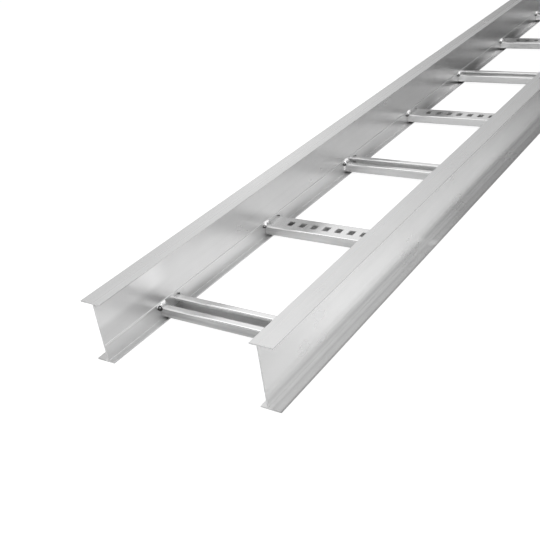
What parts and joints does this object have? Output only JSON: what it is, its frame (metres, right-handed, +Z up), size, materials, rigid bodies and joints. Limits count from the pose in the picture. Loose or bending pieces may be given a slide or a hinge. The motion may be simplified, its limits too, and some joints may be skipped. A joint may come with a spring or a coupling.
{
  "type": "cable ladder section",
  "caption": "Straight cable ladder section: two I-section side rails joined by welded strut rungs, mouth up and slotted back up by turns.",
  "frame": {"origin": "middle of the footprint, on the plane that the bottom flanges stand on", "axes": "+X across the ladder, +Y along it, +Z up"},
  "size_m": [0.3428, 3.6576, 0.104],
  "materials": {
    "rail_extrusion": "mill finish extrusion, satin, with faint lengthwise die lines",
    "rung_strut": "mill finish strut, satin, with as-welded beads at its ends"
  },
  "bodies": {
    "root": {"left_side_rail": "rail_extrusion", "right_side_rail": "rail_extrusion", "open_rung_01": "rung_strut", "slotted_rung_02": "rung_strut", "open_rung_03": "rung_strut", "slotted_rung_04": "rung_strut", "open_rung_05": "rung_strut", "slotted_rung_06": "rung_strut", "open_rung_07": "rung_strut", "slotted_rung_08": "rung_strut", "open_rung_09": "rung_strut", "slotted_rung_10": "rung_strut", "open_rung_11": "rung_strut", "slotted_rung_12": "rung_strut"}
  },
  "joints": []
}
